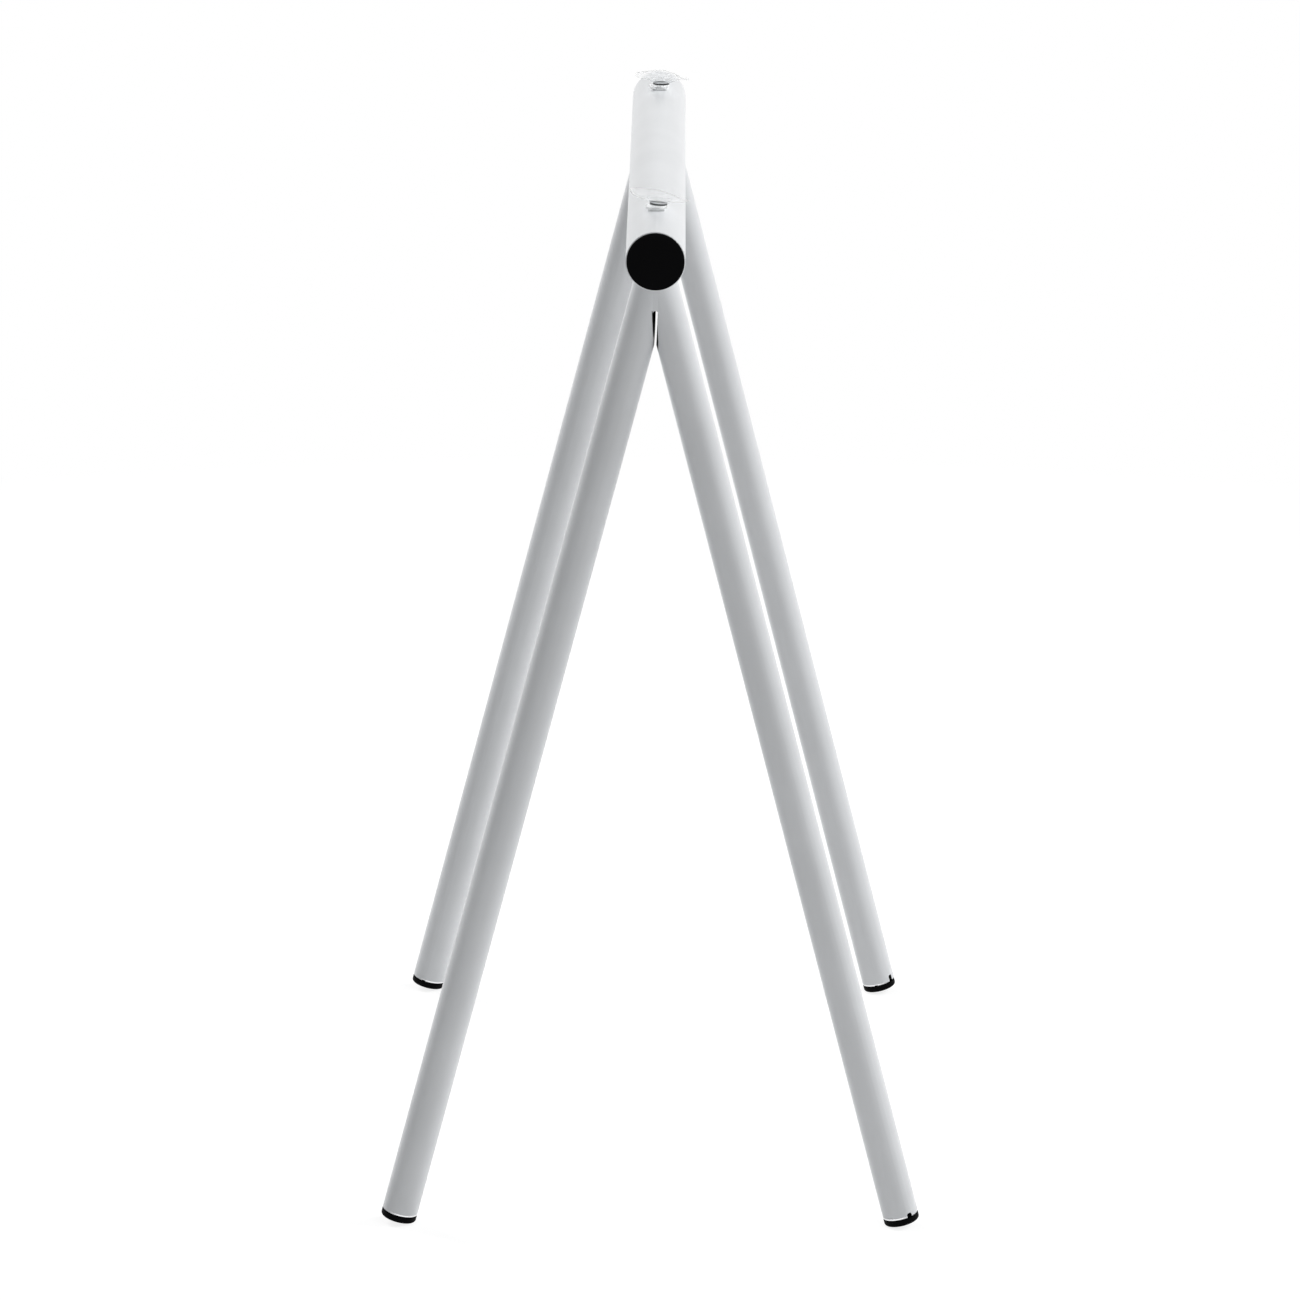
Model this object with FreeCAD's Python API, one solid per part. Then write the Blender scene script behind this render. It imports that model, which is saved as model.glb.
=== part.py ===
import FreeCAD, Part
import math
import os

# Trestle for a glass table top, in millimetres. A round bar lies along Y on two
# A-shaped pairs of slimmer round legs. Everything is welded and powder coated.
# The origin is on the floor under the middle of the bar, and Z points up.

# Driving sizes of the bar
bar_diameter = 40.0
bar_wall = 2.0
bar_length = 600.0
bar_axis_height = 698.0
bar_end_chamfer = 0.5

# Driving sizes of the legs
leg_diameter = 25.0
leg_wall = 1.5
leg_splay = 14.57
leg_inset = 45.0
leg_apex_rise = 5.5
leg_end_chamfer = 0.9

# The two legs of a pair are mitred, and an open slot is left below their weld.
# The left leg's cut is a few degrees out of square, which half closes the slot.
slot_drop = 21.0
slot_head_width = 3.7
slot_mouth_width = 1.4
mitre_turn = 6.0
weld_throat = 3.0
weld_leg = 2.6
weld_relief = 0.1
weld_overlap = 0.45

# Small notches in the tube ends show the black plug behind them.
# Each one is its angle from the front face towards the outside, width and height.
foot_notches = {
    "front_left": [],
    "front_right": [(32.0, 3.8, 3.6)],
    "rear_left": [(20.0, 3.2, 1.3)],
    "rear_right": [(54.0, 3.6, 5.6), (-9.0, 2.6, 1.3)],
}

notch_round = 0.4

# End caps of the bar and plugs of the feet
cap_margin = 0.6
cap_flange = 1.6
cap_edge_round = 1.0
cap_dome = 1.6
cap_stem = 17.0
cap_ribs = 3
plug_margin = 0.05
plug_flange = 4.6
plug_edge_round = 1.6
plug_dome = 0.4
plug_stem = 20.0
plug_ribs = 3
stem_wall = 1.8
stem_clearance = 0.7
rib_clearance = 0.1
rib_height = 1.6
rib_spacing = 4.2
rib_start = 4.5
stem_chamfer = 1.2

# Suction cups and the bushes that hold them in the bar
cup_spacing = 450.0
cup_diameter = 40.0
cup_rim_thickness = 0.9
cup_lip_width = 1.5
cup_hollow = 2.9
cup_neck_diameter = 12.0
cup_neck_height = 2.2
cup_rise = 4.6
cup_flare = 0.6
cup_stem_diameter = 6.0
cup_barb_diameter = 7.6
cup_barb_height = 3.2
cup_barb_land = 0.7
bush_diameter = 15.0
bush_flange = 2.1
bush_foot_diameter = 11.4
bush_foot_height = 1.1
bush_stem_diameter = 10.0
bush_lip = 0.7
bush_lip_height = 2.4
bush_stem_tail = 4.0
bush_edge_round = 0.8
bush_clearance = 0.1

# Values worked out from the driving sizes
bar_radius = bar_diameter / 2.0
bar_bore = bar_radius - bar_wall
bar_half = bar_length / 2.0
bar_top = bar_axis_height + bar_radius
bar_underside = bar_axis_height - bar_radius
leg_radius = leg_diameter / 2.0
leg_bore = leg_radius - leg_wall
splay = math.radians(leg_splay)
apex_height = bar_underside + leg_apex_rise
leg_plane = bar_half - leg_inset
slot_head = bar_underside - slot_drop
slot_mouth = apex_height - (leg_radius / math.cos(splay) + slot_mouth_width / 2.0) / math.tan(splay)
plug_radius = leg_radius - plug_margin
plug_face_height = (plug_radius - plug_edge_round) * math.sin(splay)
plug_face_height += plug_edge_round * (1.0 - math.cos(splay))
leg_end = (apex_height - plug_face_height) / math.cos(splay) - plug_flange
leg_top = (bar_axis_height - apex_height) / math.cos(splay)
flange_underside = bar_top + bush_foot_height
cup_base = flange_underside + bush_flange
cup_top = cup_base + cup_neck_height + cup_rise
full_turn = 360.0

vector = FreeCAD.Vector
ORIGIN = vector(0, 0, 0)
ACROSS = vector(1, 0, 0)
ALONG = vector(0, 1, 0)
UP = vector(0, 0, 1)


def revolved(edges):
    """A solid turned about Z from edges drawn in the XZ plane."""
    face = Part.Face(Part.Wire(Part.__sortEdges__(edges)))
    return Part.Solid(face.revolve(ORIGIN, UP, full_turn))


def lines(points):
    """Straight edges through points given as radius and height."""
    spots = [vector(radius, 0, height) for radius, height in points]
    pairs = zip(spots[:-1], spots[1:])
    return [Part.LineSegment(start, end).toShape() for start, end in pairs]


def arc(start, middle, end):
    """A round edge through three points given as radius and height."""
    spots = [vector(radius, 0, height) for radius, height in (start, middle, end)]
    return Part.Arc(*spots).toShape()


def bar_rod(radius):
    """A solid rod on the bar's axis, as long as the bar."""
    start = vector(0, -bar_half, bar_axis_height)
    return Part.makeCylinder(radius, bar_length, start, ALONG)


def placed_on_leg(shape, side, station):
    """Move a shape from the leg's own frame, with the apex at the origin, to its leg."""
    shape.rotate(ORIGIN, ALONG, -side * leg_splay)
    shape.translate(vector(0, station, apex_height))
    return shape


def leg_rod(radius, side, station):
    """A solid rod on a leg's axis, from the bar's axis to the end of the tube."""
    rod = Part.makeCylinder(radius, leg_end + leg_top, vector(0, 0, -leg_end), UP)
    return placed_on_leg(rod, side, station)


def mitre_tool(side, station):
    """The block that cuts a leg back from the middle plane and leaves the slot."""
    mouth = side * slot_mouth_width / 2.0
    head = mouth if side < 0 else slot_head_width / 2.0
    far = -side * (bar_radius + leg_diameter)
    profile = [
        (mouth, -bar_radius),
        (mouth, slot_mouth),
        (head, slot_head),
        (head, bar_top),
        (far, bar_top),
        (far, -bar_radius),
        (mouth, -bar_radius),
    ]
    front = station - leg_diameter
    spots = [vector(x, front, z) for x, z in profile]
    face = Part.Face(Part.makePolygon(spots))
    tool = face.extrude(ALONG * (2.0 * leg_diameter))
    if side < 0:
        tool.rotate(vector(mouth, station, 0), UP, -mitre_turn)
    return tool


def notch_tool(angle, width, height, side):
    """The block that cuts one notch in a tube's lower end, in the leg's own frame."""
    corner = vector(-width / 2.0, -leg_radius - leg_wall, -leg_end - plug_flange)
    block = Part.makeBox(width, 3.0 * leg_wall, height + plug_flange, corner)
    top = block.BoundBox.ZMax
    top_edges = []
    for edge in block.Edges:
        box = edge.BoundBox
        if box.ZMin > top - height / 2.0 and box.YLength > leg_wall:
            top_edges.append(edge)
    block = block.makeFillet(min(width, height) * notch_round, top_edges)
    block.rotate(ORIGIN, UP, side * angle)
    return block


def make_bar():
    """The top bar, with a hole for each cup's bush in its upper wall."""
    rod = bar_rod(bar_radius)
    ends = [edge for edge in rod.Edges if edge.BoundBox.YLength < bar_wall]
    tube = rod.makeChamfer(bar_end_chamfer, ends).cut(bar_rod(bar_bore))
    for station in (-cup_spacing / 2.0, cup_spacing / 2.0):
        start = vector(0, station, bar_axis_height)
        hole_radius = bush_stem_diameter / 2.0 + bush_clearance
        tube = tube.cut(Part.makeCylinder(hole_radius, bar_diameter, start, UP))
    return tube


def deburred_rod(side, station):
    """A leg's rod with the sharp edge taken off its lower end."""
    rod = Part.makeCylinder(leg_radius, leg_end + leg_top, vector(0, 0, -leg_end), UP)
    rim = [edge for edge in rod.Edges if edge.BoundBox.ZMax < leg_wall - leg_end]
    return placed_on_leg(rod.makeChamfer(leg_end_chamfer, rim), side, station)


def make_leg(name, side, station):
    """One leg tube, coped to the bar and mitred against the other leg of its pair."""
    tube = deburred_rod(side, station).cut(leg_rod(leg_bore, side, station))
    for angle, width, height in foot_notches[name]:
        tool = notch_tool(angle, width, height, side)
        tube = tube.cut(placed_on_leg(tool, side, station))
    tube = tube.cut(mitre_tool(side, station))
    return tube.cut(bar_rod(bar_radius))


def filled_leg(side, station):
    """A mitred leg without its bore, for cutting the weld to it."""
    return leg_rod(leg_radius, side, station).cut(mitre_tool(side, station))


def joint_bead(side, station):
    """The hollow bead that runs round a leg where it meets the bar."""
    rod = leg_rod(leg_radius, side, station)
    bar = bar_rod(bar_radius)
    joined = bar.fuse(rod)
    seam = []
    for edge in joined.Edges:
        box = edge.BoundBox
        round_the_leg = box.YMin > station - leg_diameter and box.YMax < station + leg_diameter
        at_the_bar = box.ZMin > slot_head and box.ZMax < bar_axis_height
        if round_the_leg and at_the_bar:
            seam.append(edge)
    beaded = joined.makeChamfer(weld_leg, seam)
    return beaded.cut(bar).cut(rod)


def flush_web(station):
    """Weld metal between the mitred legs, ground flush, with the slot's round head."""
    half = slot_head_width / 2.0
    reach = slot_head_width + weld_overlap
    plates = []
    for radius in (leg_radius - weld_relief, leg_radius - weld_throat):
        wires = leg_rod(radius, 1, station).slice(ACROSS, half)
        plates.append(Part.Face(wires[0]).extrude(ACROSS * -reach))
    web = plates[0].cut(plates[1])
    front = station - leg_diameter
    depth = 2.0 * leg_diameter
    below = Part.makeBox(bar_diameter, depth, slot_head - half, vector(-bar_radius, front, 0))
    round_head = Part.makeCylinder(half, depth, vector(0, front, slot_head - half), ALONG)
    return web.cut(below).cut(round_head)


def make_weld(station):
    """All the weld of one pair of legs: round both tubes, and between them."""
    weld = flush_web(station)
    for side in (-1, 1):
        weld = weld.fuse(joint_bead(side, station))
    for side in (-1, 1):
        weld = weld.cut(filled_leg(side, station))
    return weld.cut(bar_rod(bar_radius))


def crown(edge_radius, edge_height, axis_height):
    """A round edge from the axis out to a rim, centred on the axis so that it domes or dishes."""
    rise = axis_height - edge_height
    sphere = (edge_radius ** 2 + rise ** 2) / (2.0 * abs(rise))
    middle = edge_radius / 2.0
    bend = sphere - math.sqrt(sphere ** 2 - middle ** 2)
    middle_height = axis_height - math.copysign(bend, rise)
    return arc((0, axis_height), (middle, middle_height), (edge_radius, edge_height))


def end_plug(bore, flange_radius, flange, edge_round, dome, stem_length, ribs):
    """A moulded end plug about Z: its flange lies below zero and its stem above."""
    face = -flange
    corner = flange_radius - edge_round
    bend = edge_round * math.sqrt(0.5)
    shoulder = face + edge_round
    stem_radius = bore - stem_clearance
    rib_radius = bore - rib_clearance
    inside = stem_radius - stem_wall
    turn = (corner + bend, shoulder - bend)
    edges = [crown(corner, face, face - dome)]
    edges.append(arc((corner, face), turn, (flange_radius, shoulder)))
    outline = [(flange_radius, shoulder), (flange_radius, 0), (stem_radius, 0)]
    for index in range(ribs):
        start = rib_start + index * rib_spacing
        outline.append((stem_radius, start))
        outline.append((rib_radius, start))
        outline.append((stem_radius, start + rib_height))
    outline.append((stem_radius, stem_length - stem_chamfer))
    outline.append((stem_radius - stem_chamfer, stem_length))
    outline.append((inside, stem_length))
    outline.append((inside, 0))
    outline.append((0, 0))
    outline.append((0, face - dome))
    return revolved(edges + lines(outline))


def make_bar_cap(end):
    """The domed black cap in one end of the bar."""
    flange_radius = bar_radius - cap_margin
    cap = end_plug(bar_bore, flange_radius, cap_flange, cap_edge_round, cap_dome, cap_stem, cap_ribs)
    cap.rotate(ORIGIN, ACROSS, 90.0 * end)
    cap.translate(vector(0, end * bar_half, bar_axis_height))
    return cap


def make_foot_plug(side, station):
    """The black plug in the lower end of one leg, whose inner edge meets the floor."""
    plug = end_plug(leg_bore, plug_radius, plug_flange, plug_edge_round, plug_dome, plug_stem, plug_ribs)
    plug.translate(vector(0, 0, -leg_end))
    return placed_on_leg(plug, side, station)


def bush_lip_top():
    """The height of the bush's snap lip, just under the curved inside of the bar."""
    lip = bush_stem_diameter / 2.0 + bush_lip
    return bar_axis_height + math.sqrt(bar_bore ** 2 - lip ** 2) - bush_clearance


def make_bush(station):
    """The pale bush that snaps into the bar: a flange, a saddle-shaped foot and a stem."""
    radius = bush_diameter / 2.0
    foot = bush_foot_diameter / 2.0
    stem = bush_stem_diameter / 2.0
    bore = cup_stem_diameter / 2.0 + bush_clearance
    lip = stem + bush_lip
    lip_top = bush_lip_top()
    tail = lip_top - bush_stem_tail
    shoulder = cup_base - bush_edge_round
    bend = bush_edge_round * (1.0 - math.sqrt(0.5))
    rounded = arc((radius - bush_edge_round, cup_base), (radius - bend, cup_base - bend), (radius, shoulder))
    flange_outline = [
        (radius, shoulder),
        (radius, flange_underside),
        (foot, flange_underside),
        (foot, bar_axis_height),
        (bore, bar_axis_height),
        (bore, cup_base),
        (radius - bush_edge_round, cup_base),
    ]
    stem_outline = [
        (bore, shoulder),
        (stem, shoulder),
        (stem, lip_top),
        (lip, lip_top),
        (stem - bush_lip, lip_top - bush_lip_height),
        (stem - bush_lip, tail),
        (bore, tail),
        (bore, shoulder),
    ]
    flange = revolved([rounded] + lines(flange_outline)).cut(bar_rod(bar_radius))
    bush = flange.fuse(revolved(lines(stem_outline))).removeSplitter()
    bush.translate(vector(0, station, 0))
    return bush


def make_cup(station):
    """The soft suction cup, with a flat lip round its shallow hollow and a barbed stem."""
    radius = cup_diameter / 2.0
    neck = cup_neck_diameter / 2.0
    stem = cup_stem_diameter / 2.0
    barb = cup_barb_diameter / 2.0
    neck_top = cup_base + cup_neck_height
    rim_low = cup_top - cup_rim_thickness
    lip_inner = radius - cup_lip_width
    floor = cup_top - cup_hollow
    barb_top = bush_lip_top() - bush_stem_tail - bush_clearance
    barb_low = barb_top - cup_barb_height
    middle = ((neck + radius) / 2.0, (neck_top + rim_low) / 2.0 + cup_flare)
    underside = arc((neck, neck_top), middle, (radius, rim_low))
    outline = [(radius, rim_low), (radius, cup_top), (lip_inner, cup_top)]
    root = [
        (0, floor),
        (0, barb_low),
        (stem, barb_low),
        (barb, barb_top - cup_barb_land),
        (barb, barb_top),
        (stem, barb_top),
        (stem, cup_base),
        (neck, cup_base),
        (neck, neck_top),
    ]
    cup = revolved([underside, crown(lip_inner, cup_top, floor)] + lines(outline) + lines(root))
    cup.translate(vector(0, station, 0))
    return cup


def export(name, shape):
    """Write one piece to its own file and print what it holds."""
    shape.exportStep(os.path.join("parts", name + ".step"))
    solids = len(shape.Solids)
    print(name, "solids", solids, "valid", shape.isValid(), "volume", round(shape.Volume, 1))


def main():
    os.makedirs("parts", exist_ok=True)
    export("crossbar_tube", make_bar())
    for end_name, end in (("front", -1), ("rear", 1)):
        station = end * leg_plane
        for side_name, side in (("left", -1), ("right", 1)):
            place = end_name + "_" + side_name
            export("leg_" + place, make_leg(place, side, station))
            export("foot_plug_" + place, make_foot_plug(side, station))
        export(end_name + "_leg_weld", make_weld(station))
        export("bar_cap_" + end_name, make_bar_cap(end))
        cup_station = end * cup_spacing / 2.0
        export("suction_cup_" + end_name, make_cup(cup_station))
        export("cup_bush_" + end_name, make_bush(cup_station))


main()
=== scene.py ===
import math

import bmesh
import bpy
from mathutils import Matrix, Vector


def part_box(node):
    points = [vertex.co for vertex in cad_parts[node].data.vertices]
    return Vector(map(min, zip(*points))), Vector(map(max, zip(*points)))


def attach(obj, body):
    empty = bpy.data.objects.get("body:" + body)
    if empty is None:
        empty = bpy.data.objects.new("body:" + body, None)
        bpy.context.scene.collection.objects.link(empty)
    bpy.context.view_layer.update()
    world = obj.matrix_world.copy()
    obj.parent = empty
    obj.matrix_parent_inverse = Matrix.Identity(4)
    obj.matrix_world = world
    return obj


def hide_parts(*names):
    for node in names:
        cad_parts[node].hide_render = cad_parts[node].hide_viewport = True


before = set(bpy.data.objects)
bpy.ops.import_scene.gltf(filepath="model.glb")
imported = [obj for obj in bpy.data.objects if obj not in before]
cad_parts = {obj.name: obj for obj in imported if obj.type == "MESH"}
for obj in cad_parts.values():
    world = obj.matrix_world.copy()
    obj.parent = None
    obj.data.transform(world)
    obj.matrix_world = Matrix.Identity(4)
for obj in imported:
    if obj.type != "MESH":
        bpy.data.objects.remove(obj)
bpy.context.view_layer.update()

# %% [markdown]
# # A trestle for a glass table top
#
# The real object is a welded steel trestle. A round bar lies on two A-shaped
# pairs of slimmer legs, all of it powder coated in a pale grey. Black moulded
# caps close the bar and the feet, and two soft suction cups stand on the bar to
# hold the glass. The tubes, welds, caps, plugs and bushes arrive ready shaped
# from the frame, so this lesson is about their finishes, about the two soft
# cups, which are modelled here because they droop, and about the studio.

MM = 0.001

# %% [markdown]
# ## Colours
#
# A painter picks a colour by eye, as a hex value on a screen. A shader needs the
# amount of light, which is not the same scale, so one function turns the first
# into the second. Every colour in this file passes through it.


# %% From a screen colour to light
def linear(hex_colour):
    """An sRGB hex colour as linear red, green, blue and a full alpha."""
    channels = [int(hex_colour[i:i + 2], 16) / 255.0 for i in (1, 3, 5)]
    light = [c / 12.92 if c <= 0.04045 else ((c + 0.055) / 1.055) ** 2.4 for c in channels]
    return (*light, 1.0)


print("pale grey as light", [round(c, 3) for c in linear("#DADCDD")[:3]])

# %% [markdown]
# ## One helper for shader nodes
#
# A material is a small machine of nodes. The helper makes one node, sets the
# values it is given and plugs in its links, so each material below reads as a
# list of what it is made of. A value goes to the socket of that name or number
# where the node has one, and otherwise to the node's own setting. A node that
# blends two colours has its share on socket 0 and its colours on 6 and 7.


# %% Adding a node
def add_node(tree, kind, values=None, links=None):
    """Make a node, set its values, and link its inputs from other nodes' outputs."""
    node = tree.nodes.new(kind)
    for name, value in (values or {}).items():
        if isinstance(name, int) or name in node.inputs:
            node.inputs[name].default_value = value
        else:
            setattr(node, name, value)
    for name, source in (links or {}).items():
        tree.links.new(source, node.inputs[name])
    return node


COLOUR_OUT = 2  # the colour output of a node that blends two colours
EVEN_SCATTERING = (1.0, 1.0, 1.0)  # red, green and blue light wander equally far


def new_material(name):
    """An empty material with its output node and the place on the object, in metres."""
    material = bpy.data.materials.new(name)
    material.use_nodes = True
    tree = material.node_tree
    tree.nodes.clear()
    output = add_node(tree, "ShaderNodeOutputMaterial")
    place = add_node(tree, "ShaderNodeTexCoord")
    return material, output, place.outputs["Object"]


def pattern_scale(feature_mm):
    """How many features of this size fit in a metre, which is a texture's scale."""
    return 1.0 / (feature_mm * MM)


print("a 1 mm pattern has scale", pattern_scale(1.0))

# %% [markdown]
# ## Bare steel and painted shade inside a tube
#
# Powder is sprayed on from outside and hardly enters a tube, so the bore keeps
# its dark mill scale, and the same near-black also stands in as painted shade
# for the deep shade inside the tube. It shows only through the slot between two
# legs, where it makes a black line, and on the cut faces of the wall beside it,
# where it is painted shade. A point is painted so when it is nearer to the
# tube's axis than the outer skin of the wall. The cross product of the axis and
# the way to the point has just that distance as its length.

# %% Mill scale and painted shade in the bores
MILL_SCALE_AND_SHADE = "#131211"
WALL_SHADE_MM = 1.2  # how far the painted shade on the cut of the wall reaches out from the bore


def bore_bare_and_shade_share(tree, place, axis_point, axis_direction, bore_mm):
    """One in the bore of a tube and on its cut wall, and nought on its outer skin."""
    away = add_node(
        tree,
        "ShaderNodeVectorMath",
        {"operation": "SUBTRACT", 1: axis_point},
        {0: place},
    )
    cross = add_node(
        tree,
        "ShaderNodeVectorMath",
        {"operation": "CROSS_PRODUCT", 1: axis_direction},
        {0: away.outputs["Vector"]},
    )
    reach = add_node(
        tree,
        "ShaderNodeVectorMath",
        {"operation": "LENGTH"},
        {0: cross.outputs["Vector"]},
    )
    inner = add_node(
        tree,
        "ShaderNodeMath",
        {"operation": "LESS_THAN", 1: (bore_mm + WALL_SHADE_MM) * MM},
        {0: reach.outputs["Value"]},
    )
    return inner.outputs["Value"]


print("tubes are bare up to", WALL_SHADE_MM, "mm into the wall")

# %% [markdown]
# ## Painted shade along the slot
#
# A thin dark line of painted shade runs along both sides of the slot, for the
# shade in the narrow gap between the legs. All of the slot lies near x = 0 and
# below its upper end, and it leans a little to one side, because the left leg was
# cut out of square. So the middle of the slot is worked out for each height, and a
# comparison keeps what is near it.

# %% Painted shade along the slot
SLOT_TOP_MM = 657.2
SLOT_END_MM = 635.0
SLOT_TOP_MIDDLE_MM = -0.75
SLOT_END_MIDDLE_MM = 0.35
SLOT_HALF_WIDTH_MM = 1.7


def slot_painted_shade_share(tree, place):
    """One beside the slot between two legs, where shade is painted, and nought elsewhere."""
    axes = add_node(tree, "ShaderNodeSeparateXYZ", {}, {"Vector": place})
    middle = add_node(
        tree,
        "ShaderNodeMapRange",
        {
            "From Min": SLOT_TOP_MM * MM,
            "From Max": SLOT_END_MM * MM,
            "To Min": SLOT_TOP_MIDDLE_MM * MM,
            "To Max": SLOT_END_MIDDLE_MM * MM,
        },
        {"Value": axes.outputs["Z"]},
    )
    beside = add_node(
        tree,
        "ShaderNodeMath",
        {"operation": "COMPARE", 2: SLOT_HALF_WIDTH_MM * MM},
        {0: axes.outputs["X"], 1: middle.outputs["Result"]},
    )
    below_top = add_node(
        tree,
        "ShaderNodeMath",
        {"operation": "LESS_THAN", 1: SLOT_TOP_MM * MM},
        {0: axes.outputs["Z"]},
    )
    inside = add_node(
        tree,
        "ShaderNodeMath",
        {"operation": "MULTIPLY"},
        {0: beside.outputs["Value"], 1: below_top.outputs["Value"]},
    )
    return inside.outputs["Value"]


print("slot edges from", SLOT_TOP_MM, "down to", SLOT_END_MM, "mm")

# %% [markdown]
# ## Painted highlight at the leg ends
#
# The lower end of a leg is deburred. On that narrow slope and just above it, on the
# side towards the middle of the trestle, a bright metal finish is painted on as a
# painted highlight, a light line above the black foot. How far down a leg a point
# lies is the dot product of the leg's direction and the way to the point, and which
# side it is on is plain from its x.

# %% Painted highlight at the lower end of a leg
PAINTED_HIGHLIGHT_STEEL = "#F4F5F6"
HIGHLIGHT_MM = 1.6
HIGHLIGHT_FADE_MM = 7.0


def end_highlight_share(tree, place, axis_point, axis_direction, end_mm):
    """One on the inner side of a leg's deburred end, and nought elsewhere."""
    away = add_node(
        tree,
        "ShaderNodeVectorMath",
        {"operation": "SUBTRACT", 1: axis_point},
        {0: place},
    )
    down = add_node(
        tree,
        "ShaderNodeVectorMath",
        {"operation": "DOT_PRODUCT", 1: axis_direction},
        {0: away.outputs["Vector"]},
    )
    at_end = add_node(
        tree,
        "ShaderNodeMath",
        {"operation": "GREATER_THAN", 1: (end_mm - HIGHLIGHT_MM) * MM},
        {0: down.outputs["Value"]},
    )
    across = add_node(tree, "ShaderNodeSeparateXYZ", {}, {"Vector": place})
    end_x = axis_direction[0] * end_mm
    outwards = math.copysign(HIGHLIGHT_FADE_MM, end_x)
    inner = add_node(
        tree,
        "ShaderNodeMapRange",
        {"From Min": (end_x + outwards) * MM, "From Max": end_x * MM},
        {"Value": across.outputs["X"]},
    )
    both = add_node(
        tree,
        "ShaderNodeMath",
        {"operation": "MULTIPLY"},
        {0: at_end.outputs["Value"], 1: inner.outputs["Result"]},
    )
    return both.outputs["Value"]


print("bright line", HIGHLIGHT_MM, "mm wide")

# %% [markdown]
# ## Powder coat
#
# The frame is steel tube under a baked polyester powder. The powder melts into a
# skin about 0.08 mm thick that is never quite flat: it keeps an orange peel of
# low bumps one or two millimetres across, which softens every reflection. It is
# a satin skin, so the highlight is broad. The tone also drifts a little along a
# tube, as the powder lies thicker in some places. Noise textures give both, one
# fine for the bump and one coarse for the tone, and the weld gets the same coat
# over a surface that a grinder left slightly uneven.

# %% Powder-coated steel, for the tubes and for the ground weld
COAT = "#E2E4E6"
COAT_SHADE = "#DEE0E2"
PEEL_MM = 1.6
PEEL_DEPTH_MM = 0.06
SPECK_MM = 2.2
DRIFT_MM = 55.0
DRAWN_DEPTH_MM = 0.05
GRIND_MM = 5.0
GRIND_DEPTH_MM = 0.25
DRIFT_LOW, DRIFT_HIGH = 0.35, 0.65  # where a drift in the noise is fully one tone
SATIN_SMOOTH, SATIN_ROUGH = 0.26, 0.34
PEEL_STRENGTH = 0.25
UNEVEN_STRENGTH = 0.4
COAT_IOR = 1.5


def powder_coat(name, uneven_mm, uneven_depth_mm, tube=None):
    """Satin powder on steel; tube is an axis point, a direction, a bore and an end in mm."""
    material, output, place = new_material(name)
    tree = material.node_tree
    drift = add_node(
        tree,
        "ShaderNodeTexNoise",
        {"Scale": pattern_scale(DRIFT_MM), "Detail": 3.0},
        {"Vector": place},
    )
    spread = add_node(
        tree,
        "ShaderNodeMapRange",
        {"From Min": DRIFT_LOW, "From Max": DRIFT_HIGH},
        {"Value": drift.outputs["Fac"]},
    )
    tone = add_node(
        tree,
        "ShaderNodeMix",
        {"data_type": "RGBA", 6: linear(COAT_SHADE), 7: linear(COAT)},
        {0: spread.outputs["Result"]},
    )
    metal = {}
    if tube:
        axis_point, axis_direction, bore_mm, end_mm = tube
        # painted highlight: bright metal on the inner side of a leg's lower end
        end_highlight = end_highlight_share(tree, place, axis_point, axis_direction, end_mm)
        metal = {"Metallic": end_highlight}
        # near-black: mill scale in the bore, and painted shade on the cut wall and along both
        # sides of the slot
        bore = bore_bare_and_shade_share(tree, place, axis_point, axis_direction, bore_mm)
        slot_shade = slot_painted_shade_share(tree, place)
        bare = add_node(
            tree,
            "ShaderNodeMath",
            {"operation": "MAXIMUM"},
            {0: bore, 1: slot_shade},
        )
        tone = add_node(
            tree,
            "ShaderNodeMix",
            {"data_type": "RGBA", 7: linear(MILL_SCALE_AND_SHADE)},
            {0: bare.outputs["Value"], 6: tone.outputs[COLOUR_OUT]},
        )
        tone = add_node(
            tree,
            "ShaderNodeMix",
            {"data_type": "RGBA", 7: linear(PAINTED_HIGHLIGHT_STEEL)},
            {0: end_highlight, 6: tone.outputs[COLOUR_OUT]},
        )
    specks = add_node(
        tree,
        "ShaderNodeTexNoise",
        {"Scale": pattern_scale(SPECK_MM), "Detail": 4.0},
        {"Vector": place},
    )
    satin = add_node(
        tree,
        "ShaderNodeMapRange",
        {"To Min": SATIN_SMOOTH, "To Max": SATIN_ROUGH},
        {"Value": specks.outputs["Fac"]},
    )
    orange_peel = add_node(
        tree,
        "ShaderNodeTexNoise",
        {"Scale": pattern_scale(PEEL_MM), "Detail": 2.0},
        {"Vector": place},
    )
    peel_bump = add_node(
        tree,
        "ShaderNodeBump",
        {"Strength": PEEL_STRENGTH, "Distance": PEEL_DEPTH_MM * MM},
        {"Height": orange_peel.outputs["Fac"]},
    )
    unevenness = add_node(
        tree,
        "ShaderNodeTexNoise",
        {"Scale": pattern_scale(uneven_mm), "Detail": 2.0},
        {"Vector": place},
    )
    uneven_bump = add_node(
        tree,
        "ShaderNodeBump",
        {"Strength": UNEVEN_STRENGTH, "Distance": uneven_depth_mm * MM},
        {"Height": unevenness.outputs["Fac"], "Normal": peel_bump.outputs["Normal"]},
    )
    coat = add_node(
        tree,
        "ShaderNodeBsdfPrincipled",
        {"IOR": COAT_IOR},
        {
            "Base Color": tone.outputs[COLOUR_OUT],
            "Roughness": satin.outputs["Result"],
            "Normal": uneven_bump.outputs["Normal"],
            **metal,
        },
    )
    tree.links.new(coat.outputs["BSDF"], output.inputs["Surface"])
    return material


ground_weld = powder_coat("powder_coated_ground_weld", GRIND_MM, GRIND_DEPTH_MM)
print("coat on", ground_weld.name)
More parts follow.
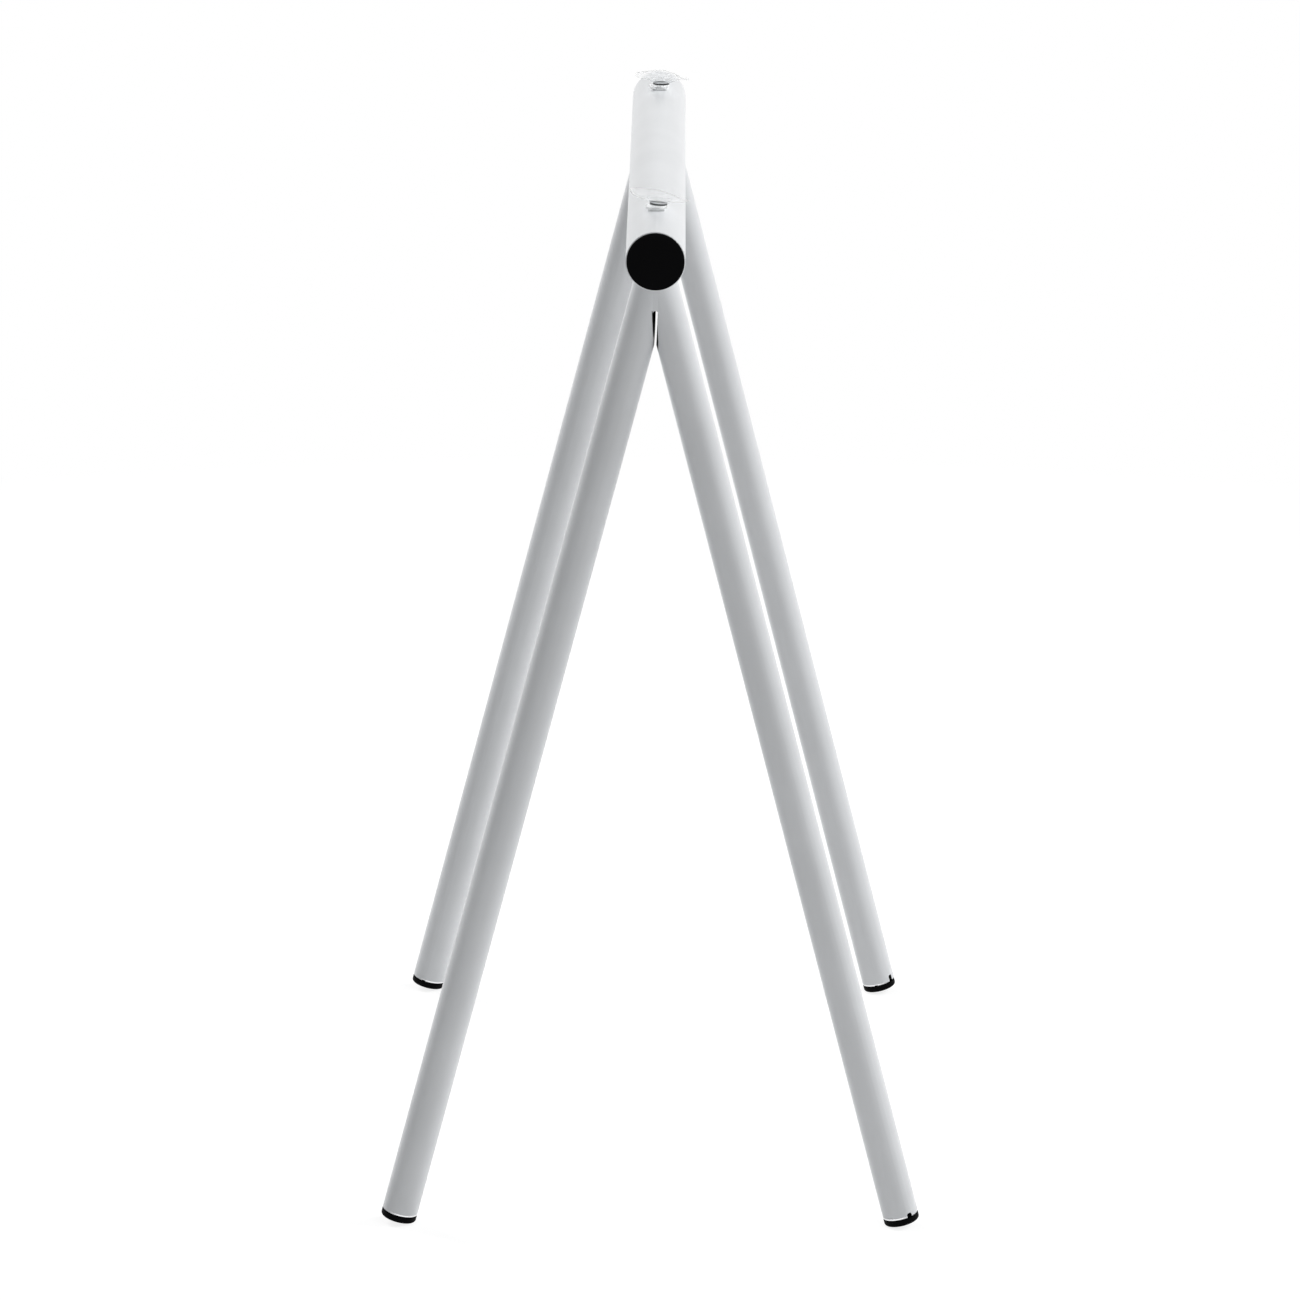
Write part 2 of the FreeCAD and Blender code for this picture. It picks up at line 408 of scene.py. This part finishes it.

# %% [markdown]
# ## One coat for each tube
#
# Each tube needs to know its own axis and end, so that its bore gets its mill
# scale and painted shade and its lower end gets its painted highlight. The legs
# come down from the middle plane under the bar, splayed by the same angle to both
# sides. These are the sizes the tubes were built with, and the legs' end follows
# from their lowest point. The bar has no painted highlight at its end, so its end
# is put out of reach.

# %% Coats that know their tube's axis
BAR_AXIS_MM = 698.0
BAR_BORE_MM = 18.0
LEG_APEX_MM = 683.5
LEG_PLANE_MM = 255.0
LEG_BORE_MM = 11.0
LEG_RADIUS_MM = 12.5
LEG_SPLAY = math.radians(14.57)
OUT_OF_REACH_MM = 1000.0

bar_axis = ((0.0, 0.0, BAR_AXIS_MM * MM), (0.0, 1.0, 0.0), BAR_BORE_MM, OUT_OF_REACH_MM)
tube_coats = {
    "crossbar_tube": powder_coat("powder_coated_steel_bar", DRIFT_MM, DRAWN_DEPTH_MM, bar_axis),
}
for end_name, end in (("front", -1), ("rear", 1)):
    for side_name, side in (("left", -1), ("right", 1)):
        leg = "leg_" + end_name + "_" + side_name
        apex = (0.0, end * LEG_PLANE_MM * MM, LEG_APEX_MM * MM)
        down = (side * math.sin(LEG_SPLAY), 0.0, -math.cos(LEG_SPLAY))
        lowest_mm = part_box(leg)[0].z / MM
        end_height_mm = lowest_mm + LEG_RADIUS_MM * math.sin(LEG_SPLAY)
        end_mm = (LEG_APEX_MM - end_height_mm) / math.cos(LEG_SPLAY)
        leg_axis = (apex, down, LEG_BORE_MM, end_mm)
        coat_name = "powder_coated_steel_" + leg
        tube_coats[leg] = powder_coat(coat_name, DRIFT_MM, DRAWN_DEPTH_MM, leg_axis)
print("tubes", len(tube_coats), "and a leg reaches", round(end_mm, 1), "mm down its axis")

# %% [markdown]
# ## Black moulded plastic
#
# The caps and foot plugs are injection-moulded polyethylene, black all through.
# The mould's spark-eroded texture turns a mirror highlight into a faint grey
# sheen. The real grain is about 0.1 mm, too fine for the picture, so it is drawn
# at 0.6 mm. The plugs stand on floors, so their rims carry pale scuffs a few
# millimetres long, and the caps are clean.

# %% Moulded black polyethylene
CAP_BLACK = "#060607"
SCUFF_GREY = "#2A2B2D"
GRAIN_MM = 0.6
GRAIN_DEPTH_MM = 0.05
SCUFF_MM = 3.0
SCUFF_BREAKUP = 0.7
GRAIN_STRENGTH = 0.3
PLASTIC_IOR = 1.51
PLASTIC_GLOSS = 0.03  # a spark-eroded skin gives back hardly any of the white room


def moulded_black(name, scuff_from, rough_low, rough_high):
    """Black moulded plastic with a fine grain, and scuffs above a noise level."""
    material, output, place = new_material(name)
    tree = material.node_tree
    scuffs = add_node(
        tree,
        "ShaderNodeTexNoise",
        {"Scale": pattern_scale(SCUFF_MM), "Detail": 6.0, "Roughness": SCUFF_BREAKUP},
        {"Vector": place},
    )
    worn = add_node(
        tree,
        "ShaderNodeMapRange",
        {"From Min": scuff_from, "From Max": 1.0},
        {"Value": scuffs.outputs["Fac"]},
    )
    tone = add_node(
        tree,
        "ShaderNodeMix",
        {"data_type": "RGBA", 6: linear(CAP_BLACK), 7: linear(SCUFF_GREY)},
        {0: worn.outputs["Result"]},
    )
    grain = add_node(
        tree,
        "ShaderNodeTexNoise",
        {"Scale": pattern_scale(GRAIN_MM), "Detail": 3.0},
        {"Vector": place},
    )
    sheen = add_node(
        tree,
        "ShaderNodeMapRange",
        {"To Min": rough_low, "To Max": rough_high},
        {"Value": grain.outputs["Fac"]},
    )
    grain_bump = add_node(
        tree,
        "ShaderNodeBump",
        {"Strength": GRAIN_STRENGTH, "Distance": GRAIN_DEPTH_MM * MM},
        {"Height": grain.outputs["Fac"]},
    )
    plastic = add_node(
        tree,
        "ShaderNodeBsdfPrincipled",
        {"IOR": PLASTIC_IOR, "Specular IOR Level": PLASTIC_GLOSS},
        {
            "Base Color": tone.outputs[COLOUR_OUT],
            "Roughness": sheen.outputs["Result"],
            "Normal": grain_bump.outputs["Normal"],
        },
    )
    tree.links.new(plastic.outputs["BSDF"], output.inputs["Surface"])
    return material


cap_plastic = moulded_black(
    "moulded_black_polyethylene_cap",
    scuff_from=0.75,
    rough_low=0.4,
    rough_high=0.52,
)
plug_plastic = moulded_black(
    "moulded_black_polyethylene_foot_plug",
    scuff_from=0.55,
    rough_low=0.48,
    rough_high=0.62,
)
print("plastics", cap_plastic.name, plug_plastic.name)

# %% [markdown]
# ## Pale moulded nylon
#
# Each bush is a small round moulding of natural nylon, a milky plastic that is
# half clear. Light enters it, wanders a few millimetres and comes out again, so
# its shaded side never goes quite dark. Subsurface scattering does the same, and
# a plain alpha of a half lets the pale bar show through. The skin's grain is
# drawn at 1 mm, coarser than the real one, so that it shows at all.

# %% Natural nylon
NYLON = "#FCFDFD"
NYLON_SHADE = "#F6F8F9"
NYLON_GRAIN_MM = 1.0
NYLON_GRAIN_DEPTH_MM = 0.04
NYLON_WANDER_MM = 4.0
NYLON_GRAIN_STRENGTH = 0.2
NYLON_IOR = 1.53
NYLON_ROUGHNESS = 0.35
NYLON_SOLID = 0.5
NYLON_SCATTERING = 0.7


def natural_nylon():
    """Milky moulded nylon with a soft moulded skin."""
    material, output, place = new_material("moulded_natural_nylon_bush")
    tree = material.node_tree
    grain = add_node(
        tree,
        "ShaderNodeTexNoise",
        {"Scale": pattern_scale(NYLON_GRAIN_MM), "Detail": 2.0},
        {"Vector": place},
    )
    tone = add_node(
        tree,
        "ShaderNodeMix",
        {"data_type": "RGBA", 6: linear(NYLON_SHADE), 7: linear(NYLON)},
        {0: grain.outputs["Fac"]},
    )
    grain_bump = add_node(
        tree,
        "ShaderNodeBump",
        {"Strength": NYLON_GRAIN_STRENGTH, "Distance": NYLON_GRAIN_DEPTH_MM * MM},
        {"Height": grain.outputs["Fac"]},
    )
    nylon = add_node(
        tree,
        "ShaderNodeBsdfPrincipled",
        {
            "IOR": NYLON_IOR,
            "Roughness": NYLON_ROUGHNESS,
            "Alpha": NYLON_SOLID,
            "Subsurface Weight": NYLON_SCATTERING,
            "Subsurface Radius": EVEN_SCATTERING,
            "Subsurface Scale": NYLON_WANDER_MM * MM,
        },
        {"Base Color": tone.outputs[COLOUR_OUT], "Normal": grain_bump.outputs["Normal"]},
    )
    tree.links.new(nylon.outputs["BSDF"], output.inputs["Surface"])
    return material


bush_nylon = natural_nylon()
print("bush", bush_nylon.name)

# %% [markdown]
# ## Dressing the solids
#
# A solid from the frame keeps its mesh and only gets a finish. Its object has
# material slots already, so the finish is put into every slot.

# %% Which finish each solid wears
FINISHES = {
    **tube_coats,
    "front_leg_weld": ground_weld,
    "rear_leg_weld": ground_weld,
    "bar_cap_front": cap_plastic,
    "bar_cap_rear": cap_plastic,
    "foot_plug_front_left": plug_plastic,
    "foot_plug_front_right": plug_plastic,
    "foot_plug_rear_left": plug_plastic,
    "foot_plug_rear_right": plug_plastic,
    "cup_bush_front": bush_nylon,
    "cup_bush_rear": bush_nylon,
}

for node_name, finish in FINISHES.items():
    for material_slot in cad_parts[node_name].material_slots:
        material_slot.material = finish
print("dressed", len(FINISHES), "solids")

# %% [markdown]
# ## Soft vinyl
#
# The suction cups are milky soft vinyl with a polished skin. The broad dish is
# thin, milky and half clear. The lip is painted whiter than the dish, as a painted
# highlight, and a narrow band round the neck is painted nearly black, as painted
# shade for the dark gap under the dish. So one function makes four finishes that
# differ in tint, in how solid they are and in how much light wanders inside. Bent
# light from a lamp rarely finds its way through clear plastic in a render, so the
# dish is clear by plain alpha, and a cup casts no shadow of its own on the bush and
# the bar below it. Towards its middle the dish grows thick and nearly solid, and
# it is painted greyer there as painted shade. A soft moulding keeps a ripple of a
# few millimetres.

# %% Four finishes of soft vinyl, with painted highlight and painted shade
VINYL_RIPPLE_MM = 7.0
VINYL_RIPPLE_DEPTH_MM = 0.2
VINYL_WANDER_MM = 6.0
VINYL_RIPPLE_STRENGTH = 0.2
VINYL_IOR = 1.53


def soft_vinyl(name, shade, tint, solid, scattering, roughness):
    """Soft vinyl with a gently rippled, polished skin."""
    material, output, place = new_material(name)
    tree = material.node_tree
    ripple = add_node(
        tree,
        "ShaderNodeTexNoise",
        {"Scale": pattern_scale(VINYL_RIPPLE_MM), "Detail": 2.0},
        {"Vector": place},
    )
    tone = add_node(
        tree,
        "ShaderNodeMix",
        {"data_type": "RGBA", 6: linear(shade), 7: linear(tint)},
        {0: ripple.outputs["Fac"]},
    )
    ripple_bump = add_node(
        tree,
        "ShaderNodeBump",
        {"Strength": VINYL_RIPPLE_STRENGTH, "Distance": VINYL_RIPPLE_DEPTH_MM * MM},
        {"Height": ripple.outputs["Fac"]},
    )
    vinyl = add_node(
        tree,
        "ShaderNodeBsdfPrincipled",
        {
            "IOR": VINYL_IOR,
            "Roughness": roughness,
            "Alpha": solid,
            "Subsurface Weight": scattering,
            "Subsurface Radius": EVEN_SCATTERING,
            "Subsurface Scale": VINYL_WANDER_MM * MM,
        },
        {"Base Color": tone.outputs[COLOUR_OUT], "Normal": ripple_bump.outputs["Normal"]},
    )
    tree.links.new(vinyl.outputs["BSDF"], output.inputs["Surface"])
    return material


milky_dish = soft_vinyl(
    "moulded_milky_soft_vinyl_dish",
    shade="#E6E8EA",
    tint="#EFF1F2",
    solid=0.25,
    scattering=0.6,
    roughness=0.3,
)
# Painted highlight: the lip is painted whiter than the dish.
lip_painted_highlight = soft_vinyl(
    "moulded_milky_soft_vinyl_lip_painted_highlight",
    shade="#F4F6F7",
    tint="#FAFBFC",
    solid=0.38,
    scattering=1.0,
    roughness=0.35,
)
# Painted shade: the neck is painted nearly black for the dark gap under the dish.
neck_painted_shade = soft_vinyl(
    "moulded_soft_vinyl_neck_painted_shade",
    shade="#101112",
    tint="#18191A",
    solid=1.0,
    scattering=0.0,
    roughness=0.35,
)
# Painted shade: the middle of the dish is painted greyer; it is also thicker and more solid
# there.
hub_painted_shade = soft_vinyl(
    "moulded_milky_soft_vinyl_hub_painted_shade",
    shade="#D4D6D8",
    tint="#DCDEE0",
    solid=0.8,
    scattering=0.6,
    roughness=0.3,
)
print("vinyl", milky_dish.name, lip_painted_highlight.name, neck_painted_shade.name, hub_painted_shade.name)

# %% [markdown]
# ## The suction cups
#
# A cup is turned from one outline: a barbed stem that snaps into the bush, a
# short neck, a flared underside, a thin lip and a shallow hollow. The outline is a
# list of points of radius and height, each with the finish of the band above it,
# and it is spun into rings further down. Only a narrow band round the neck is
# painted dark, as painted shade. A curve tool with a screw modifier could turn the
# same outline, but rings made in code can be bent one by one.

# %% The outline of a cup, in millimetres above the bush
# Finish numbers: the lip's finish is a painted highlight, and the neck's and the hub's are
# painted shade.
DISH, LIP_PAINTED_HIGHLIGHT, NECK_PAINTED_SHADE, HUB_PAINTED_SHADE = 0, 1, 2, 3
STEM_RADIUS = 3.0
BARB_RADIUS = 3.8
BARB_LAND = 0.7
BARB_HEIGHT = 3.2
NECK_RADIUS = 6.0
NECK_FOOT = 0.6  # below this the neck is not painted dark
GIVE_HEIGHT = 0.8  # above this the neck tilts in full
NECK_HEIGHT = 1.7
HUB_RADIUS = 8.5  # inside this the dish is thick and painted greyer as painted shade
LIP_THICKNESS = 0.9
LIP_WIDTH = 1.5
HOLLOW_DEPTH = 2.9
FLARE_STEPS = 12
FLARE_BEND = 1.7
HOLLOW_STEPS = 12
LIP_ROUND_STEPS = 4
TRIAL_RIM, TRIAL_HEIGHT, TRIAL_STEM = 20.0, 6.8, -13.5


def cup_outline(rim_radius, height, stem_bottom):
    """Points of radius, height and finish, up the outside and back over the hollow."""
    barb_top = stem_bottom + BARB_HEIGHT
    points = [
        (STEM_RADIUS, stem_bottom, DISH),
        (BARB_RADIUS, barb_top - BARB_LAND, DISH),
        (BARB_RADIUS, barb_top, DISH),
        (STEM_RADIUS, barb_top, DISH),
        (STEM_RADIUS, 0.0, DISH),
        (NECK_RADIUS, 0.0, DISH),
        (NECK_RADIUS, NECK_FOOT, NECK_PAINTED_SHADE),
    ]
    under_lip = height - LIP_THICKNESS
    for step in range(FLARE_STEPS + 1):
        share = step / FLARE_STEPS
        rise = 1.0 - (1.0 - share) ** FLARE_BEND
        radius = NECK_RADIUS + (rim_radius - NECK_RADIUS) * share
        finish = LIP_PAINTED_HIGHLIGHT if step == FLARE_STEPS else HUB_PAINTED_SHADE if radius < HUB_RADIUS else DISH
        points.append((radius, NECK_HEIGHT + (under_lip - NECK_HEIGHT) * rise, finish))
    half = LIP_THICKNESS / 2.0
    for step in range(1, LIP_ROUND_STEPS):
        angle = math.pi * (step / LIP_ROUND_STEPS - 0.5)
        bulge = half * (math.cos(angle) - 1.0) / 2.0
        points.append((rim_radius + bulge, height - half + half * math.sin(angle), LIP_PAINTED_HIGHLIGHT))
    points.append((rim_radius - half, height, LIP_PAINTED_HIGHLIGHT))
    lip_inner = rim_radius - LIP_WIDTH
    for step in range(HOLLOW_STEPS):
        share = step / HOLLOW_STEPS
        dip = HOLLOW_DEPTH * (1.0 - (1.0 - share) ** 2)
        radius = lip_inner * (1.0 - share)
        points.append((radius, height - dip, HUB_PAINTED_SHADE if radius < HUB_RADIUS else DISH))
    return points


print("outline points", len(cup_outline(TRIAL_RIM, TRIAL_HEIGHT, TRIAL_STEM)))


# %% [markdown]
# ## How the soft plastic gives
#
# The lip is soft and has taken a set, so it droops on one side and curls up on
# the other. Each ring point is moved: the whole cup sits a little to one side on
# its bush, and the lip follows a few low waves round its circle, as a bent drum
# skin does. The wave with one fold is a plain tilt, which reaches further into
# the middle than the others, so the neck tilts too. The stem in the bush stays
# where it is. Sculpting could do the same by hand, but waves stay smooth and are
# easy to change.

# %% Moving a point of the outline
TILT_FOLDS = 1
TILT_FALL = 1.5
WAVE_FALL = 2


def settled(radius, z, angle, height, rim_radius, slide, settle, waves):
    """Where a point of the outline goes, in millimetres from the middle of the bush's top."""
    x = radius * math.cos(angle)
    y = radius * math.sin(angle)
    if z < 0.0 or (z == 0.0 and radius < NECK_RADIUS):
        return Vector((x, y, z))
    share = radius / rim_radius
    give = settle * share
    for folds, along, across in waves:
        softness = share ** (TILT_FALL if folds == TILT_FOLDS else WAVE_FALL)
        give += softness * (along * math.cos(folds * angle) + across * math.sin(folds * angle))
    seat, lean = slide
    side = seat + (lean - seat) * z / height
    return Vector((x + side, y, z + give * min(1.0, z / GIVE_HEIGHT)))


still = settled(TRIAL_RIM, TRIAL_HEIGHT, 0.0, TRIAL_HEIGHT, TRIAL_RIM, (0.0, 0.0), 0.0, [])
print("a lip with nothing acting on it stays at", tuple(round(v, 2) for v in still))

# %% [markdown]
# ## Spinning a cup
#
# The outline is turned into rings of points, each ring point is settled, and
# faces join each ring to the next. A point in the middle of the first and of the
# last ring closes the skin. Edges that turn sharply stay sharp, and the rest is
# shaded smooth. The finished cup takes the place of its solid from the frame.

# %% Spinning the outline and settling the cup
RING_POINTS = 96
SHARP_ANGLE = math.radians(40.0)


def make_cup(name, node, bush, slide, settle, waves):
    """A soft cup in place of its solid: slide in mm at seat and lip, waves as (folds, mm, mm)."""
    low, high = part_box(node)
    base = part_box(bush)[1].z
    foot = Vector(((low.x + high.x) / 2.0, (low.y + high.y) / 2.0, base))
    rim_radius = (high.x - low.x) / 2.0 / MM
    height = (high.z - base) / MM
    outline = cup_outline(rim_radius, height, (low.z - base) / MM)
    mesh = bmesh.new()
    rings = []
    angles = [2.0 * math.pi * index / RING_POINTS for index in range(RING_POINTS)]
    for radius, z, _ in outline:
        ring = []
        for angle in angles:
            spot = settled(radius, z, angle, height, rim_radius, slide, settle, waves)
            ring.append(mesh.verts.new(foot + spot * MM))
        rings.append(ring)
    for lower, upper, (_, _, finish) in zip(rings[:-1], rings[1:], outline[:-1]):
        for index in range(RING_POINTS):
            after = (index + 1) % RING_POINTS
            face = mesh.faces.new((lower[index], lower[after], upper[after], upper[index]))
            face.material_index = finish
    for ring in (rings[0], rings[-1]):
        pole = mesh.verts.new(sum((vert.co for vert in ring), Vector()) / RING_POINTS)
        for index in range(RING_POINTS):
            face = mesh.faces.new((ring[index], ring[(index + 1) % RING_POINTS], pole))
            face.material_index = HUB_PAINTED_SHADE
    bmesh.ops.recalc_face_normals(mesh, faces=mesh.faces)
    for face in mesh.faces:
        face.smooth = True
    for edge in mesh.edges:
        edge.smooth = edge.calc_face_angle(0.0) < SHARP_ANGLE
    data = bpy.data.meshes.new(name)
    mesh.to_mesh(data)
    mesh.free()
    for finish in (milky_dish, lip_painted_highlight, neck_painted_shade, hub_painted_shade):
        data.materials.append(finish)
    cup = bpy.data.objects.new(name, data)
    cup.visible_shadow = False
    bpy.context.scene.collection.objects.link(cup)
    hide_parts(node)
    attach(cup, "root")
    return cup


cup_front = make_cup(
    "suction_cup_front_soft",
    "suction_cup_front",
    "cup_bush_front",
    slide=(1.4, 2.3),
    settle=-0.2,
    waves=[(1, -3.6, -0.7), (2, 0.2, -0.9), (3, 0.0, -0.3), (4, 0.35, -0.2)],
)
cup_rear = make_cup(
    "suction_cup_rear_soft",
    "suction_cup_rear",
    "cup_bush_rear",
    slide=(1.45, 2.4),
    settle=0.2,
    waves=[(1, -1.6, -0.8), (2, -0.6, -1.0), (3, -0.1, -0.6), (4, 0.35, -0.4)],
)
print("cups", cup_front.name, cup_rear.name)

# %% [markdown]
# ## The camera
#
# The picture was taken from about four and a half metres away with a long lens,
# a little above the bar and almost in line with it. The place and the three
# angles below were worked out from the straight edges of the tubes. The lens
# follows from the picture's width of 1300 pixels and a 36 mm sensor.

# %% Where the photograph was taken from
PICTURE_WIDTH = 1300
SENSOR_MM = 36.0
FOCAL_PIXELS = 6133.8
CAMERA_PLACE = Vector((14.13, -4296.7, 1546.5)) * MM
TURN_RIGHT = -0.00408
LOOK_DOWN = 0.27241
ROLL = 0.00576
FAR_LIMIT = 100.0

lens = bpy.data.cameras.new("studio_camera")
lens.sensor_width = SENSOR_MM
lens.sensor_fit = "HORIZONTAL"
lens.lens = FOCAL_PIXELS / PICTURE_WIDTH * SENSOR_MM
lens.clip_end = FAR_LIMIT
camera = bpy.data.objects.new("studio_camera", lens)
bpy.context.scene.collection.objects.link(camera)
aim = Matrix.Rotation(-TURN_RIGHT, 4, "Z") @ Matrix.Rotation(math.pi / 2 - LOOK_DOWN, 4, "X")
camera.matrix_world = Matrix.Translation(CAMERA_PLACE) @ aim @ Matrix.Rotation(ROLL, 4, "Z")
bpy.context.scene.camera = camera
print("lens", round(lens.lens, 1), "mm")

# %% [markdown]
# ## The studio
#
# The object stands on a white sweep that runs far past it. The sweep shows white
# to the camera and in reflections, so that coat and vinyl mirror a white room,
# and only its shaded part darkens, which keeps the shadow under the feet. The
# light on the object is a separate matter: a dim even room, a broad lamp high on
# the right, another behind on the left, and a weak one in front.


# %% Which rays look, and which only carry light
LOOKING_RAYS = ("Is Camera Ray", "Is Glossy Ray", "Is Transmission Ray")


def seen_rays(tree):
    """One where the camera, a reflection or a clear body looks, and zero for other light."""
    path = add_node(tree, "ShaderNodeLightPath")
    camera_ray, mirror_ray, clear_ray = (path.outputs[ray] for ray in LOOKING_RAYS)
    first = add_node(
        tree,
        "ShaderNodeMath",
        {"operation": "MAXIMUM"},
        {0: camera_ray, 1: mirror_ray},
    )
    second = add_node(
        tree,
        "ShaderNodeMath",
        {"operation": "MAXIMUM"},
        {0: first.outputs["Value"], 1: clear_ray},
    )
    return second.outputs["Value"]


print("rays that look:", ", ".join(LOOKING_RAYS))


# %% A white floor that keeps the shadow
FLOOR_SIZE = 40.0
FLOOR_WHITE = "#F4F4F4"
GLOW_WHITE = "#FFFFFF"
SHADOW_WEIGHT = 0.3
SHADOW_GLOW = 0.84
SHADOW_REACH = 1.0
SHADOW_END = 2.0


def white_paper():
    """A matt white that glows to what looks at it, and still takes a shadow near the object."""
    material, output, place = new_material("matt_white_paper_sweep")
    tree = material.node_tree
    seen = seen_rays(tree)
    distance = add_node(tree, "ShaderNodeVectorMath", {"operation": "LENGTH"}, {0: place})
    near = add_node(
        tree,
        "ShaderNodeMapRange",
        {"From Min": SHADOW_REACH, "From Max": SHADOW_END, "To Min": 1.0, "To Max": 0.0},
        {"Value": distance.outputs["Value"]},
    )
    weight = add_node(
        tree,
        "ShaderNodeMath",
        {"operation": "MULTIPLY", 1: SHADOW_WEIGHT},
        {0: near.outputs["Result"]},
    )
    share = add_node(tree, "ShaderNodeMix", {2: 1.0}, {0: seen, 3: weight.outputs["Value"]})
    tone = add_node(
        tree,
        "ShaderNodeVectorMath",
        {"operation": "SCALE", 0: linear(FLOOR_WHITE)[:3]},
        {"Scale": share.outputs[0]},
    )
    paper = add_node(tree, "ShaderNodeBsdfDiffuse", {}, {"Color": tone.outputs["Vector"]})
    glow = add_node(
        tree,
        "ShaderNodeMapRange",
        {"To Min": 1.0, "To Max": SHADOW_GLOW},
        {"Value": near.outputs["Result"]},
    )
    shown_glow = add_node(
        tree,
        "ShaderNodeMath",
        {"operation": "MULTIPLY"},
        {0: seen, 1: glow.outputs["Result"]},
    )
    lit = add_node(
        tree,
        "ShaderNodeEmission",
        {"Color": linear(GLOW_WHITE)},
        {"Strength": shown_glow.outputs["Value"]},
    )
    both = add_node(
        tree,
        "ShaderNodeAddShader",
        {},
        {0: paper.outputs["BSDF"], 1: lit.outputs["Emission"]},
    )
    tree.links.new(both.outputs["Shader"], output.inputs["Surface"])
    return material


half_floor = FLOOR_SIZE / 2.0
corners = [(x * half_floor, y * half_floor, 0.0) for x, y in ((-1, -1), (1, -1), (1, 1), (-1, 1))]
floor_mesh = bpy.data.meshes.new("white_floor")
floor_mesh.from_pydata(corners, [], [(0, 1, 2, 3)])
floor_mesh.materials.append(white_paper())
floor = bpy.data.objects.new("white_floor", floor_mesh)
bpy.context.scene.collection.objects.link(floor)
print("floor", FLOOR_SIZE, "m across")

# %% [markdown]
# ## The room
#
# An empty room lights every side of the object a little. It could be a picture
# of a studio, but a plain level keeps the colours as they are written. The
# camera and every reflection see it as pure white instead, through the same
# choice of rays as for the floor.

# %% An even room that the camera sees as white
ROOM_LEVEL = 0.15
ROOM_WHITE = "#F4F6F8"

world = bpy.data.worlds.new("studio_room")
bpy.context.scene.world = world
world.use_nodes = True
room = world.node_tree
room.nodes.clear()
room_output = add_node(room, "ShaderNodeOutputWorld")
white = add_node(
    room,
    "ShaderNodeBackground",
    {"Color": linear(GLOW_WHITE), "Strength": 1.0},
)
dim = add_node(
    room,
    "ShaderNodeBackground",
    {"Color": linear(ROOM_WHITE), "Strength": ROOM_LEVEL},
)
room_mix = add_node(
    room,
    "ShaderNodeMixShader",
    {},
    {0: seen_rays(room), 1: dim.outputs["Background"], 2: white.outputs["Background"]},
)
room.links.new(room_mix.outputs["Shader"], room_output.inputs["Surface"])
print("room level", ROOM_LEVEL)

# %% [markdown]
# ## The lamps
#
# Three round softboxes stand eight metres away. Their places and powers were
# matched to how bright each side of each tube is in the picture. A turn is
# counted from straight in front towards the right.

# %% Three softboxes
LAMPS = {
    "key_right": {"turn": 98.0, "rise": 38.0, "power": 400.0},
    "back_left": {"turn": -135.0, "rise": 34.0, "power": 410.0},
    "front_right": {"turn": 45.0, "rise": 35.0, "power": 84.0},
}
LAMP_SIZE = 4.0
LAMP_DISTANCE = 8.0
TARGET = Vector((0.0, 0.0, 0.4))

for lamp_name, lamp in LAMPS.items():
    light = bpy.data.lights.new(lamp_name, "AREA")
    light.shape = "DISK"
    light.size = LAMP_SIZE
    light.energy = lamp["power"]
    turn = math.radians(lamp["turn"])
    rise = math.radians(lamp["rise"])
    away = Vector((
        math.cos(rise) * math.sin(turn),
        -math.cos(rise) * math.cos(turn),
        math.sin(rise),
    ))
    holder = bpy.data.objects.new(lamp_name, light)
    holder.location = TARGET + away * LAMP_DISTANCE
    holder.rotation_euler = away.to_track_quat("Z", "Y").to_euler()
    bpy.context.scene.collection.objects.link(holder)
print("lamps", ", ".join(LAMPS))

# %% [markdown]
# ## How the picture is shown
#
# The standard view shows a colour about as it is written. A film-like view would
# grey the white room and soften the contrast of black caps on a pale coat.

# %% The standard view
view = bpy.context.scene.view_settings
view.view_transform = "Standard"
print("shown as", view.view_transform)
